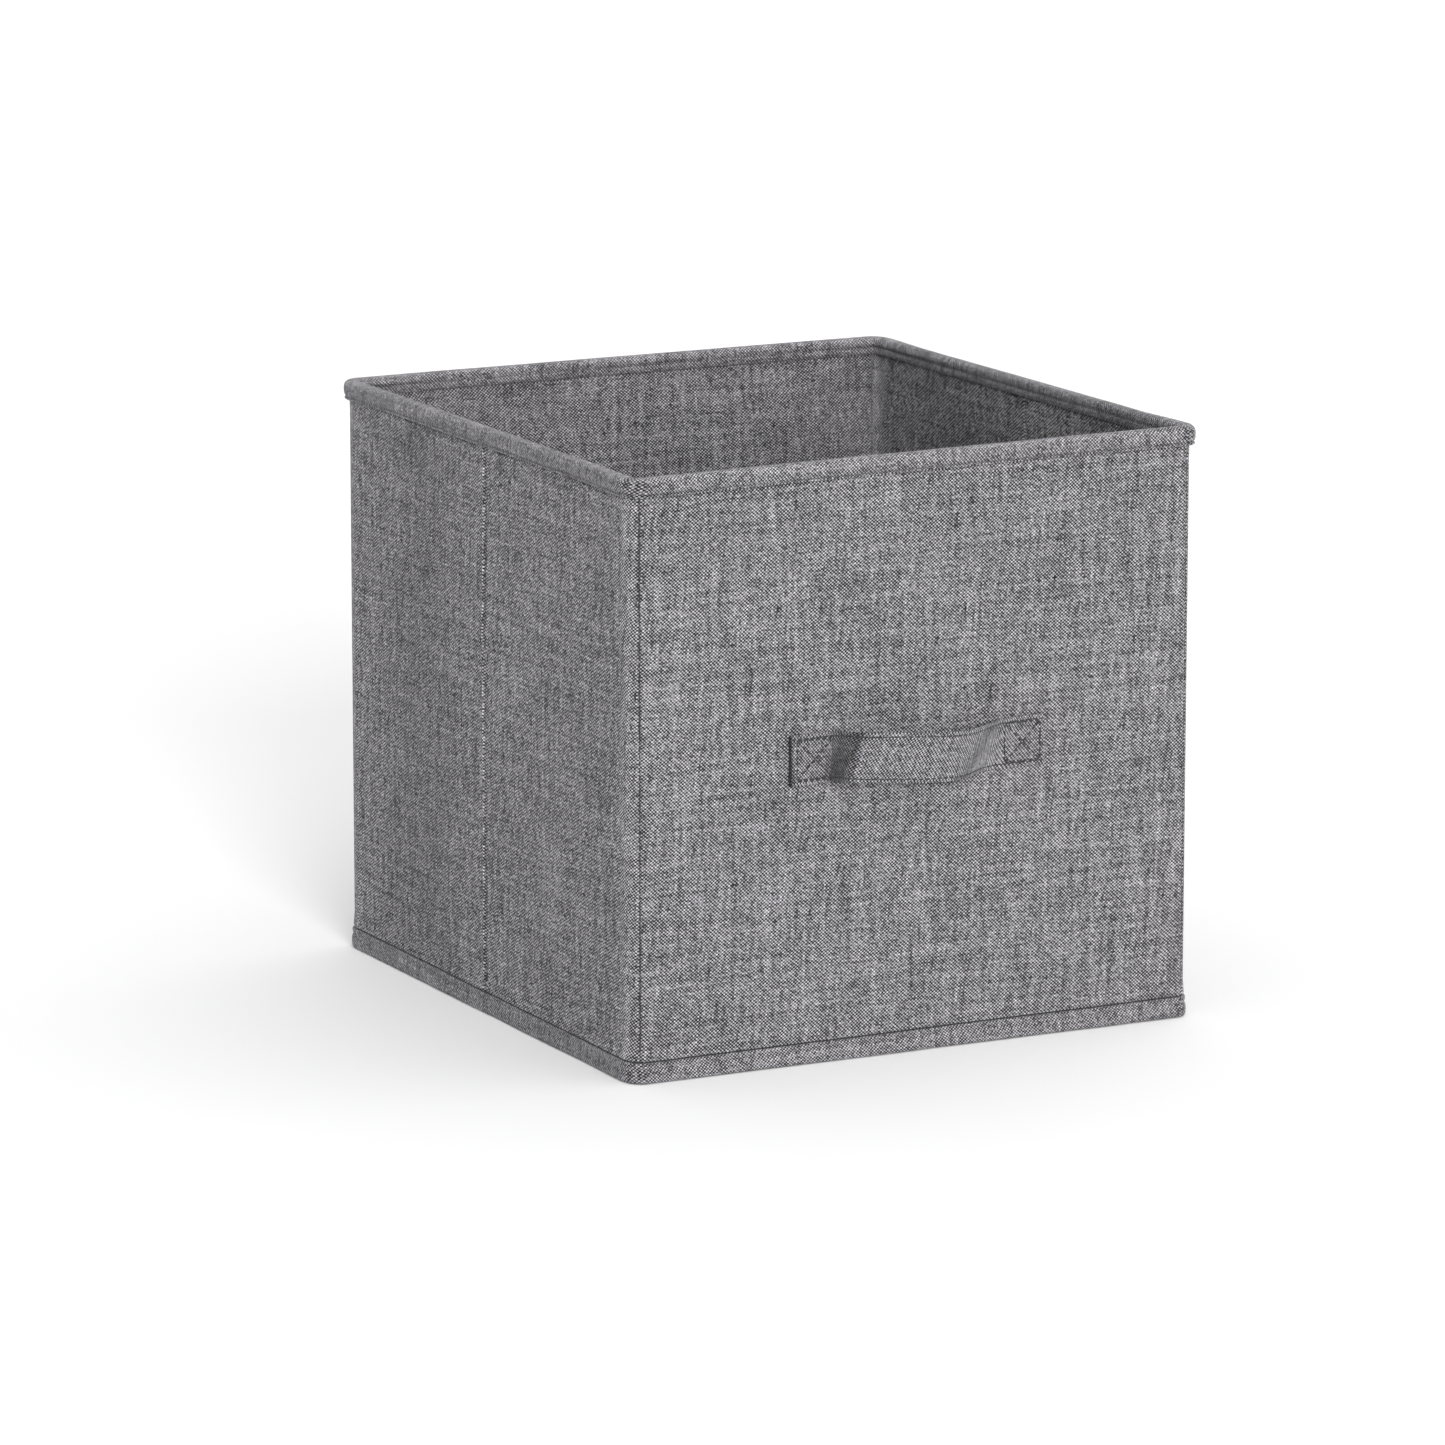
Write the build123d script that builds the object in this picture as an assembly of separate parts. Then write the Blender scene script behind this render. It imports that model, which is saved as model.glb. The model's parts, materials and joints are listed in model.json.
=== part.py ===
from build123d import *
import os

# A folding fabric storage bin. Millimetres, +Z up. The origin is on the floor at the centre of the
# open bin. The front, which carries the handle, faces -Y.

# Overall size of the open bin.
WIDTH = 300.0
DEPTH = 320.0
HEIGHT = 285.0

# Thickness of the layers.
CLOTH = 0.7
BOARD = 2.0
TAPE = 0.8
WALL = CLOTH + BOARD + CLOTH

# Floor layers, from the bottom: base cloth, then the loose covered insert.
BASE_CLOTH = 0.8
INSERT_BOTTOM = 0.9
INSERT_THICKNESS = 3.0
INSERT_COVER = 0.5
INSERT_SIDE_GAP = 8.0
INSERT_FRONT_GAP = 8.2
INSERT_BACK_GAP = 7.1

# The back wall stands on the base cloth. The other walls stand just above the insert, so that
# they can fold over the floor.
WALL_BOTTOM = 4.2
RIM_HEIGHT = 10.0
HEM_TOP = 10.0
BOARD_INSET = 1.5

# Folding lines of the side walls: how far the cards stop from the outer faces at a corner, and the
# gap that each half leaves beside its folding line.
CORNER_SLACK = 9.5
EDGE_GAP = 0.3

# Handle strap: sewn flat at both ends, bowed out between them.
HANDLE_Z = 146.0
STRAP_WIDTH = 25.0
STRAP_THICKNESS = 1.8
STRAP_LENGTH = 136.0
TAB_LENGTH = 26.0
LIFT_RADIUS = 14.0
LIFT_ANGLE = 55.0
STRAP_RISE = 14.0
STRAP_GAP = 1.2
STITCH_WIDTH = 0.9
STITCH_HEIGHT = 0.5
STITCH_MARGIN = 3.0

HALF_WIDTH = WIDTH / 2
HALF_DEPTH = DEPTH / 2
OUTER_X = HALF_WIDTH - TAPE
OUTER_Y = HALF_DEPTH - TAPE
INNER_X = OUTER_X - WALL
INNER_Y = OUTER_Y - WALL
WALL_TOP = HEIGHT - TAPE
PIVOT_Y = HALF_DEPTH - CORNER_SLACK

os.makedirs("parts", exist_ok=True)


def block(x_range, y_range, z_range):
    """A box between the given low and high values along X, Y and Z."""
    size = [high - low for low, high in (x_range, y_range, z_range)]
    corner = Pos(x_range[0], y_range[0], z_range[0])
    return corner * Box(*size, align=(Align.MIN, Align.MIN, Align.MIN))


def save(shape, name, mirrored=False):
    """Write one sub-part. A mirrored one is the same piece on the +X side."""
    part = mirror(shape, about=Plane.YZ) if mirrored else shape
    part.label = name
    export_step(part, f"parts/{name}.step")


def inset(limits, amount):
    """A low and a high value, both moved inward by the same amount."""
    return limits[0] + amount, limits[1] - amount


def wall_board(x_range, y_range, bottom, across_x):
    """The card that stiffens one wall. across_x is true where the wall's thickness lies along X."""
    x_inset, y_inset = (CLOTH, BOARD_INSET) if across_x else (BOARD_INSET, CLOTH)
    return block(inset(x_range, x_inset), inset(y_range, y_inset), inset((bottom, WALL_TOP), BOARD_INSET))


def rim_tape(x_range, y_range, across_x):
    """The folded binding over the top edge of one wall: two legs and the web that joins them."""
    x_leg, y_leg = (TAPE, 0) if across_x else (0, TAPE)
    whole = block(inset(x_range, -x_leg), inset(y_range, -y_leg), (HEIGHT - RIM_HEIGHT, HEIGHT))
    return whole - block(x_range, y_range, (HEIGHT - RIM_HEIGHT, WALL_TOP))


def wall_pieces(x_range, y_range, hem_x, hem_y, bottom, across_x):
    """The card, the closed cloth sleeve around it, and the two bindings of one wall."""
    board = wall_board(x_range, y_range, bottom, across_x)
    return {
        "board": board,
        "cover": block(x_range, y_range, (bottom, WALL_TOP)) - board,
        "rim_binding": rim_tape(x_range, y_range, across_x),
        "bottom_binding": block(hem_x, hem_y, (bottom, HEM_TOP)),
    }


def end_wall(end, facing, bottom):
    """The front wall (facing -1) or the back wall (facing +1), which spans the full width."""
    x_range = (-OUTER_X, OUTER_X)
    y_range = sorted((facing * INNER_Y, facing * OUTER_Y))
    hem_y = sorted((facing * OUTER_Y, facing * HALF_DEPTH))
    for piece, shape in wall_pieces(x_range, y_range, x_range, hem_y, bottom, across_x=False).items():
        save(shape, f"{end}_{piece}")


def side_half(end, facing):
    """One half of both side walls, between a corner and the crease. It is drawn at -X and mirrored."""
    x_range = (-OUTER_X, -INNER_X)
    y_range = sorted((facing * EDGE_GAP, facing * (PIVOT_Y - EDGE_GAP)))
    hem_x = (-HALF_WIDTH, -OUTER_X)
    pieces = wall_pieces(x_range, y_range, hem_x, y_range, WALL_BOTTOM, across_x=True)
    for side, mirrored in (("left", False), ("right", True)):
        for piece, shape in pieces.items():
            save(shape, f"{side}_{end}_{piece}", mirrored)


def corner_hinge(end, facing, bottom):
    """The cloth that joins a side wall to the front or back wall. It is drawn at -X and mirrored."""
    y_range = sorted((facing * (PIVOT_Y + EDGE_GAP), facing * INNER_Y))
    strip = block((-OUTER_X, -OUTER_X + CLOTH), y_range, (bottom, HEIGHT - RIM_HEIGHT))
    save(strip, f"{end}_left_corner_hinge")
    save(strip, f"{end}_right_corner_hinge", mirrored=True)


def floor_pieces():
    """The base cloth that the bin stands on, and the covered card insert that lies on it."""
    save(block((-HALF_WIDTH, HALF_WIDTH), (-HALF_DEPTH, HALF_DEPTH), (0, BASE_CLOTH)), "base_cloth")
    insert_x = HALF_WIDTH - INSERT_SIDE_GAP
    insert_y = (-HALF_DEPTH + INSERT_FRONT_GAP, HALF_DEPTH - INSERT_BACK_GAP)
    insert_z = (INSERT_BOTTOM, INSERT_BOTTOM + INSERT_THICKNESS)
    whole = block((-insert_x, insert_x), insert_y, insert_z)
    board = block(
        inset((-insert_x, insert_x), BOARD_INSET),
        inset(insert_y, BOARD_INSET),
        inset(insert_z, INSERT_COVER),
    )
    save(board, "insert_board")
    save(whole - board, "insert_cover")


def strap_band(path):
    """A strap of even thickness whose centre line follows a path in plan."""
    outline = make_face(offset(path, amount=STRAP_THICKNESS / 2, side=Side.BOTH))
    return Pos(0, 0, HANDLE_Z - STRAP_WIDTH / 2) * extrude(outline, STRAP_WIDTH)


def box_stitch():
    """The thread of one sewn end: a square with a cross in it, standing on the tab's face."""
    half_x = TAB_LENGTH / 2 - STITCH_MARGIN
    half_z = STRAP_WIDTH / 2 - STITCH_MARGIN
    frame = Rectangle(2 * half_x, 2 * half_z) - Rectangle(
        2 * (half_x - STITCH_WIDTH), 2 * (half_z - STITCH_WIDTH)
    )
    corner = Vector(half_x - STITCH_WIDTH / 2, half_z - STITCH_WIDTH / 2)
    diagonals = [Vector(corner.X, turn * corner.Y) for turn in (-1, 1)]
    for end in diagonals:
        line = Line(-end, end)
        frame += make_face(offset(line, amount=STITCH_WIDTH / 2, side=Side.BOTH))
    return extrude(frame, STITCH_HEIGHT)


def handle():
    """The strap: two ends sewn to the front wall and the bowed middle that swings between them."""
    tab_y = -OUTER_Y - STRAP_THICKNESS / 2
    end_x = -STRAP_LENGTH / 2
    tab = Line((end_x, tab_y), (end_x + TAB_LENGTH, tab_y))
    lift = JernArc(start=tab @ 1, tangent=tab % 1, radius=LIFT_RADIUS, arc_size=-LIFT_ANGLE)
    sewn_end = strap_band(Wire([tab, lift]))
    save(sewn_end, "strap_left_end")
    save(sewn_end, "strap_right_end", mirrored=True)
    start = lift @ 1 + Vector(STRAP_THICKNESS + STRAP_GAP, 0)
    finish = Vector(-start.X, start.Y)
    bow = ThreePointArc(start, (0, start.Y - STRAP_RISE), finish)
    save(strap_band(Wire([bow])), "strap_middle")
    stitch_plane = Plane(
        origin=(end_x + TAB_LENGTH / 2, -OUTER_Y - STRAP_THICKNESS, HANDLE_Z),
        x_dir=(1, 0, 0),
        z_dir=(0, -1, 0),
    )
    stitch = stitch_plane * box_stitch()
    save(stitch, "strap_left_stitch")
    save(stitch, "strap_right_stitch", mirrored=True)


for end_name, end_facing, end_bottom in (("front", -1, WALL_BOTTOM), ("back", 1, BASE_CLOTH)):
    end_wall(end_name, end_facing, end_bottom)
    side_half(end_name, end_facing)
    corner_hinge(end_name, end_facing, end_bottom)
floor_pieces()
handle()
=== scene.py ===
import json
import math

import bpy
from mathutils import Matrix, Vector, noise


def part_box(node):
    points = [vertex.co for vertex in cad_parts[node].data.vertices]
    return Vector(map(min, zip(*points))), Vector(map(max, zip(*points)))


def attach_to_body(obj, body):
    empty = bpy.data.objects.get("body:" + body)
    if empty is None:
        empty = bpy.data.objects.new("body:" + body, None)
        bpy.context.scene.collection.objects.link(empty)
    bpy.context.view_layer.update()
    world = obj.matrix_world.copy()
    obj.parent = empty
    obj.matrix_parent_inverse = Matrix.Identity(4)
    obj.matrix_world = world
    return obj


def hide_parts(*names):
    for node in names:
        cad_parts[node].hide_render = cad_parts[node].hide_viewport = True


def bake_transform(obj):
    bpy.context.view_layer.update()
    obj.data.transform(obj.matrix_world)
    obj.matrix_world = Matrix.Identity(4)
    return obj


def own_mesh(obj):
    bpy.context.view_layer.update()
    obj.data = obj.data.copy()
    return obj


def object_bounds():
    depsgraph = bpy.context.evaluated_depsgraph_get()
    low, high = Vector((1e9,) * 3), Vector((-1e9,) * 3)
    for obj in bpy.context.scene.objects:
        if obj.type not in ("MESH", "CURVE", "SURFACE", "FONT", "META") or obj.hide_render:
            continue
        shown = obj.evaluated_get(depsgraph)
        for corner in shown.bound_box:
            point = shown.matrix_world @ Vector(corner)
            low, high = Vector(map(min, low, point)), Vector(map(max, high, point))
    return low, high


# The looks of a folding fabric storage bin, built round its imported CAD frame. Lengths are in metres,
# and MM turns the small ones, given in millimetres, into metres.
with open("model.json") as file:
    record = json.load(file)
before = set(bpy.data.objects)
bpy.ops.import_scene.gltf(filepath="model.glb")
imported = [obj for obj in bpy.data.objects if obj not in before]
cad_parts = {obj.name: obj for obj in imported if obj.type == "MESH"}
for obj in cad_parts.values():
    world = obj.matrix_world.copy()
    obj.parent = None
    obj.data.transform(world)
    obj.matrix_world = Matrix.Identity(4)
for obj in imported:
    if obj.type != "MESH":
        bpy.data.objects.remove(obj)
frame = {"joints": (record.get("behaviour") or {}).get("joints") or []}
CAD_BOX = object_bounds()
MM = 0.001

# Sizes read from the frame.
FRONT_LOW, FRONT_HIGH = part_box("front_cover")
HALF_X = FRONT_HIGH.x
HALF_Y = -FRONT_LOW.y
WALL = FRONT_HIGH.y - FRONT_LOW.y
TOP = CAD_BOX[1].z
BASE_LOW, BASE_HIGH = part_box("base_cloth")
INSERT_LOW, INSERT_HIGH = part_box("insert_cover")
STRAP_LOW, STRAP_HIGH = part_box("strap_middle")
JOINTS = {joint["name"]: joint for joint in frame["joints"]}
PIVOT_Y = JOINTS["fold"]["pos_m"][1]

# Plan of the walls. A corner is a quarter of an ellipse, longer on the side than on the front, and
# a seam runs down the front or back a little way in from the corner.
FRONT_ROUND = 7.0 * MM
SIDE_ROUND = 12.0 * MM
SEAM_INSET = 4.4 * MM
CREASE_REACH = 4.0 * MM
CORNER_REACH = 3.5 * MM
CARD_INSET = 2.0 * MM

# Distances between places along the wall: the usual one and the closest one. The places beside each
# seam and crease, and the parts of a corner.
STEP = 6.0 * MM
CLOSEST = 0.12 * MM
BESIDE_SEAM = tuple(offset * MM for offset in (-2.0, -1.0, -0.6, -0.3, 0.0, 0.3, 0.6, 1.0, 2.0))
ARC_PARTS = 14

# Heights of the bindings and of the cover between them.
RIM_DROP = 9.0 * MM
RIM_STITCH = 7.7 * MM
RIM_INNER_STITCH = 4.9 * MM
RIM_LOW_STITCH = 8.3 * MM
HEM_TOP = 9.8 * MM
COVER_BOTTOM = 4.2 * MM
COVER_TOP = TOP - 5.0 * MM

# Distance between the warp threads and between the weft threads of the cloth, and how far the warp
# leans for each length up it.
WEAVE_PITCH = (0.945 * MM, 0.795 * MM)
WARP_LEAN = 0.14

# How far cloth strays from flat: the panels' swell, with its waves in each metre, the rim's bow towards
# the inside, which on the back wall goes the other way, the rim's small unevenness and the strap's, and the
# corners.
PANEL_SWELL = 0.55 * MM
SWELL_WAVES = (14.0, 33.0)
RIM_BOW = 1.3 * MM
BACK_BOW = -1.1 * MM
RIM_RUCK = 0.18 * MM
RIM_RUCK_WAVES = 70.0
STRAP_RUCK = 0.12 * MM
STRAP_RUCK_WAVES = 260.0
RIM_BULK = 0.6 * MM
CORNER_RISE = 2.2 * MM
FADE_START = 8.0 * MM
FADE_LENGTH = 45.0 * MM
SEAM_DEPTH = 0.7 * MM
SEAM_WIDTH = 0.7 * MM
CREASE_HEIGHT = 0.9 * MM
CREASE_WIDTH = 1.1 * MM

# How much lighter (or, below 0, darker) the cloth's colour is painted than its mean tone, as a share of it: a
# painted highlight on a crease and on the rim's crest, lighter colour at a corner, and painted shade beside a
# crease, in the middle of the rear half of a side, in a seam and along the hem's top, and along the rim's
# stitches. Then the widths of these lines, and the waves in each metre of a seam's unevenness, round the bin
# and up it.
PAINTED_CREASE_HIGHLIGHT = 0.6
PAINTED_CREASE_SHADE = -0.5
PAINTED_CREASE_SHADE_SHIFT = 1.7 * MM
PAINTED_REAR_SHADE = -0.22
CORNER_LIGHTENING = 0.3
PAINTED_CREST_HIGHLIGHT = 0.3
PAINTED_SEAM_SHADE = -0.85
PAINTED_STITCH_SHADE = -0.35
CORNER_LIGHTENING_REACH = 5.0 * MM
CREST_WIDTH = 2.0 * MM
LINE_WIDTH = 0.5 * MM
SEAM_WAVES = (3.0, 75.0)

# Thread: the length of a stitch, the distance from one stitch to the next, and the thread's radius on the
# rim, on the seams and hem, along the strap and in its stitched squares.
STITCH_LENGTH = 2.5 * MM
STITCH_PITCH = 3.3 * MM
STITCH_RADIUS = 0.26 * MM
SEAM_STITCH_RADIUS = 0.34 * MM
EDGE_STITCH_RADIUS = 0.3 * MM
BOX_STITCH_RADIUS = 0.45 * MM

# The camera: its place, its direction in degrees and its lens in millimetres. Its image is upright.
CAMERA_PLACE = (-1.754, -3.405, 0.929)
CAMERA_YAW = 26.97
CAMERA_PITCH = 11.81
CAMERA_LENS = 200.8

# The surround: its brightness and how much that grows towards +X.
SURROUND_LIGHT = 0.89
SURROUND_SLOPE = 0.35

# The key light: its strength, the direction towards it and its width in degrees.
KEY_STRENGTH = 2.75
KEY_DIRECTION = (-0.22, -0.92, 0.28)
KEY_WIDTH = 24.0

# The floor: the side of its square, how far it lies below the bin, and its lightness.
FLOOR_SIZE = 30.0
FLOOR_DROP = 0.2 * MM
FLOOR_TONE = 0.97


# ---------------------------------------------------------------- the plan of the walls

STRAIGHT_SIDE = HALF_Y - SIDE_ROUND
STRAIGHT_FRONT = 2 * (HALF_X - FRONT_ROUND)


def corner_lengths(parts=64):
    """Lengths along a corner, from the side wall, at equal steps of its angle."""
    lengths = [0.0]
    for i in range(parts):
        a, b = (math.pi / 2 * k / parts for k in (i, i + 1))
        step_x = FRONT_ROUND * (math.cos(a) - math.cos(b))
        step_y = SIDE_ROUND * (math.sin(b) - math.sin(a))
        lengths.append(lengths[-1] + math.hypot(step_x, step_y))
    return lengths


CORNER_LENGTHS = corner_lengths()
ARC = CORNER_LENGTHS[-1]
HALF_ROUND = 2 * STRAIGHT_SIDE + 2 * ARC + STRAIGHT_FRONT
FULL_ROUND = 2 * HALF_ROUND


def corner_angle(length):
    """How far round a corner a length reaches, from 0 at the side wall to a quarter turn."""
    parts = len(CORNER_LENGTHS) - 1
    for i in range(parts):
        low, high = CORNER_LENGTHS[i:i + 2]
        if length <= high:
            return math.pi / 2 * (i + (length - low) / (high - low)) / parts
    return math.pi / 2


def corner_length(angle):
    """The length along a corner up to an angle."""
    parts = len(CORNER_LENGTHS) - 1
    place = angle / (math.pi / 2) * parts
    i = min(int(place), parts - 1)
    return CORNER_LENGTHS[i] + (place - i) * (CORNER_LENGTHS[i + 1] - CORNER_LENGTHS[i])


def side_place(y):
    """The length along the wall from a crease to where the wall is y in front of the crease."""
    if y <= STRAIGHT_SIDE:
        return y
    angle = math.asin(min(1.0, (y - STRAIGHT_SIDE) / SIDE_ROUND))
    return STRAIGHT_SIDE + corner_length(angle)


def plan_point(s):
    """The wall's outer face at distance s round the bin: its point and the direction out of it in
    plan. s is 0 at the crease of the left wall and grows towards the front, anticlockwise from above.
    Out stays square to the side wall as far as its hinge reaches, then turns with the corner."""
    half = s % HALF_ROUND
    mirrored = half > HALF_ROUND / 2
    half = HALF_ROUND - half if mirrored else half
    if half <= STRAIGHT_SIDE:
        point, turn = (-HALF_X, -half), 0.0
    elif half <= STRAIGHT_SIDE + ARC:
        angle = corner_angle(half - STRAIGHT_SIDE)
        point = (
            -HALF_X + FRONT_ROUND * (1 - math.cos(angle)),
            -STRAIGHT_SIDE - SIDE_ROUND * math.sin(angle),
        )
        turn = max(0.0, (angle - HINGE_ANGLE) / (math.pi / 2 - HINGE_ANGLE)) * math.pi / 2
    else:
        point, turn = (-HALF_X + FRONT_ROUND + half - STRAIGHT_SIDE - ARC, -HALF_Y), math.pi / 2
    out = (-math.cos(turn), -math.sin(turn))
    side = -1 if mirrored else 1
    end = -1 if s % FULL_ROUND >= HALF_ROUND else 1
    return (side * end * point[0], end * point[1]), (side * end * out[0], end * out[1])


HINGE_ANGLE = math.asin((PIVOT_Y + CORNER_REACH - STRAIGHT_SIDE) / SIDE_ROUND)
HINGE_START = side_place(PIVOT_Y - CORNER_REACH)
HINGE_MIDDLE = side_place(PIVOT_Y)
HINGE_END = side_place(PIVOT_Y + CORNER_REACH)
FRONT_ARC_START = STRAIGHT_SIDE
FRONT_ARC_END = STRAIGHT_SIDE + ARC
SEAM = STRAIGHT_SIDE + corner_length(math.acos(1 - SEAM_INSET / FRONT_ROUND))
CREASES = (0.0, HALF_ROUND)
CORNER_MIDDLES = tuple(
    base + place
    for base in (0.0, HALF_ROUND)
    for place in (FRONT_ARC_START + 0.35 * ARC, HALF_ROUND - FRONT_ARC_START - 0.35 * ARC)
)
SEAMS = tuple(base + place for base in (0.0, HALF_ROUND) for place in (SEAM, HALF_ROUND - SEAM))


def distance_round(a, b):
    """The shortest way round the bin between two places."""
    gap = abs(a - b) % FULL_ROUND
    return min(gap, FULL_ROUND - gap)


def corner_fade(s):
    """0 at a corner, rising smoothly to 1 away from it."""
    near = min(distance_round(s, seam) for seam in SEAMS)
    t = min(1.0, max(0.0, (near - FADE_START) / FADE_LENGTH))
    return t * t * (3 - 2 * t)


def swell(s, z):
    """How far the wall's cloth and card stand out of the flat, in metres."""
    point = plan_point(s)[0]
    place = Vector((point[0], point[1], z))
    slow, fast = (place * waves for waves in SWELL_WAVES)
    wave = noise.noise(slow) + 0.5 * noise.noise(fast + Vector((7.0, 3.0, 1.0)))
    bow = -(BACK_BOW if point[1] == HALF_Y else RIM_BOW) * (z / TOP) ** 3
    return corner_fade(s) * (PANEL_SWELL * wave + bow)


def wall_place(s, z, out, follow=swell):
    """The point at distance s round the bin, at a height and so far out of the wall's outer face. The
    front right corner stands a little taller than the others."""
    point, normal = plan_point(s)
    shift = out + follow(s, z)
    rise = CORNER_RISE * (1 + point[0] / HALF_X) / 2 * (1 - point[1] / HALF_Y) / 2
    return (point[0] + normal[0] * shift, point[1] + normal[1] * shift, z * (1 + rise / TOP))


def relief(s):
    """The narrow dips and ridges of the cover: sewn corner seams and pressed creases."""
    dip = max(bump(distance_round(s, seam), SEAM_WIDTH) for seam in SEAMS)
    ridge = max(bump(distance_round(s, crease), CREASE_WIDTH) for crease in CREASES)
    return CREASE_HEIGHT * ridge - SEAM_DEPTH * dip


def bump(distance, width):
    """1 at no distance, falling smoothly to 0 over a few widths."""
    return math.exp(-((distance / width) ** 2))


def cover_painted_shading(s, z):
    """The cover's painted highlights and shade: light along its creases, dark just beside them, in the middle
    of the rear half of each side, in its seams and along the hem's top; and its colour is lighter at its
    corners.
    """
    # A painted highlight along each crease, and painted shade just beside it.
    crease = max(bump(distance_round(s, crease), CREASE_WIDTH) for crease in CREASES)
    beside = max(bump(distance_round(s, crease + PAINTED_CREASE_SHADE_SHIFT), CREASE_WIDTH) for crease in CREASES)
    # Painted shade: the middle of the rear half of each side wall is painted darker, fading to nothing at the
    # crease and at the corner.
    reach = min(1.0, min(distance_round(s, crease) for crease in CREASES) / STRAIGHT_SIDE)
    painted_rear_shade = PAINTED_REAR_SHADE * math.sin(math.pi * reach) ** 2 if s % FULL_ROUND > HALF_ROUND else 0.0
    # The colour is made lighter round each front and back corner.
    corner = max(bump(distance_round(s, middle), CORNER_LIGHTENING_REACH) for middle in CORNER_MIDDLES)
    # Painted shade in the sewn corner seams, uneven along them, and along the top edge of the hem.
    seam_shade_unevenness = 0.7 + 0.9 * noise.noise(Vector((s * SEAM_WAVES[0], 0.0, z * SEAM_WAVES[1])))
    seam = seam_shade_unevenness * max(bump(distance_round(s, seam), 0.7 * SEAM_WIDTH) for seam in SEAMS)
    hem = bump(z - HEM_TOP, LINE_WIDTH)
    painted_shading = PAINTED_CREASE_HIGHLIGHT * crease + PAINTED_CREASE_SHADE * beside + CORNER_LIGHTENING * corner
    return painted_shading + painted_rear_shade + PAINTED_SEAM_SHADE * min(1.0, seam + hem)


def rim_painted_shading(s, z):
    """The rim carries a painted highlight along its crest and painted shade along its stitches."""
    crest = bump(TOP - z, CREST_WIDTH)
    sewn = bump(TOP - RIM_STITCH - z, LINE_WIDTH)
    return PAINTED_CREST_HIGHLIGHT * crest + PAINTED_STITCH_SHADE * sewn


def plain_tone(s, z):
    """Cloth of even tone."""
    return 0.0


def stations(start, end):
    """Places along the wall from start to end, close together at seams, creases and corners."""
    count = max(2, round((end - start) / STEP))
    places = [start + (end - start) * i / count for i in range(count + 1)]
    for special in SEAMS + CREASES:
        for turn in (-FULL_ROUND, 0.0, FULL_ROUND):
            for offset in BESIDE_SEAM:
                place = special + turn + offset
                if start < place < end:
                    places.append(place)
    for arc_start in (FRONT_ARC_START, HALF_ROUND - FRONT_ARC_END):
        for base in (-HALF_ROUND, 0.0, HALF_ROUND, 2 * HALF_ROUND):
            for i in range(ARC_PARTS + 1):
                place = base + arc_start + ARC * i / ARC_PARTS
                if start < place < end:
                    places.append(place)
    places.sort()
    kept = [places[0]]
    for place in places[1:-1]:
        if place - kept[-1] > CLOSEST and end - place > CLOSEST:
            kept.append(place)
    kept.append(places[-1])
    return kept


# ---------------------------------------------------------------- mesh tools


def make_object(name, vertices, faces, cloth, material, sharp=40.0):
    """A smooth-shaded mesh object. cloth gives each vertex's place along and across the flat cloth,
    and how much lighter or darker its colour is painted there: painted highlights and shade, and lighter
    corners."""
    mesh = bpy.data.meshes.new(name)
    mesh.from_pydata(vertices, [], faces)
    mesh.validate()
    attribute = mesh.attributes.new("cloth", "FLOAT_VECTOR", "POINT")
    attribute.data.foreach_set("vector", [value for place in cloth for value in place])
    mesh.shade_smooth()
    mesh.set_sharp_from_angle(angle=math.radians(sharp))
    mesh.materials.append(material)
    piece = bpy.data.objects.new(name, mesh)
    bpy.context.scene.collection.objects.link(piece)
    return piece


def loft(rings, cloth_rings):
    """Vertices, faces and cloth places of a closed tube through rings of points."""
    size = len(rings[0])
    vertices = [point for ring in rings for point in ring]
    cloth = [place for ring in cloth_rings for place in ring]
    faces = []
    for i in range(len(rings) - 1):
        for j in range(size):
            k = (j + 1) % size
            faces.append((i * size + j, i * size + k, (i + 1) * size + k, (i + 1) * size + j))
    faces.append(tuple(reversed(range(size))))
    faces.append(tuple((len(rings) - 1) * size + j for j in range(size)))
    return vertices, faces, cloth


def wall_sweep(name, start, end, profile, material, follow=swell, tone=plain_tone, sharp=40.0):
    """A closed band that follows the wall from start to end. The profile is a loop of points:
    distance out of the wall's outer face, height, and place across the cloth."""
    rings = []
    cloth_rings = []
    for s in stations(start, end):
        ridge = relief(s) if tone is cover_painted_shading else 0.0
        section = rim_bulk(profile, s) if tone is rim_painted_shading else profile
        rings.append([wall_place(s, z, out + ridge, follow) for out, z, across in section])
        cloth_rings.append([(s, across, tone(s, z)) for out, z, across in section])
    vertices, faces, cloth = loft(rings, cloth_rings)
    return make_object(name, vertices, faces, cloth, material, sharp)


def stitches(name, runs, material, radius=STITCH_RADIUS):
    """Short threads laid end to end. Each run is a list of (start point, end point, out direction)."""
    vertices, faces, cloth = [], [], []
    sides = 6
    rings = ((0.0, 0.35, -0.6), (0.15, 0.9, 0.0), (0.5, 1.0, 0.35), (0.85, 0.9, 0.0), (1.0, 0.35, -0.6))
    for start, end, out in runs:
        start, end, out = Vector(start), Vector(end), Vector(out).normalized()
        along = (end - start).normalized()
        across = along.cross(out).normalized()
        first = len(vertices)
        for place, width, lift in rings:
            centre = start.lerp(end, place) + out * lift * radius
            for j in range(sides):
                angle = 2 * math.pi * j / sides
                spoke = across * math.cos(angle) + out * math.sin(angle)
                vertices.append(tuple(centre + spoke * radius * width))
                cloth.append((place * STITCH_LENGTH, angle * radius, 0.0))
        for i in range(len(rings) - 1):
            for j in range(sides):
                k = (j + 1) % sides
                a, b = first + i * sides, first + (i + 1) * sides
                faces.append((a + j, a + k, b + k, b + j))
        faces.append(tuple(first + j for j in reversed(range(sides))))
        faces.append(tuple(first + (len(rings) - 1) * sides + j for j in range(sides)))
    return make_object(name, vertices, faces, cloth, material)


# ---------------------------------------------------------------- materials


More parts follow.
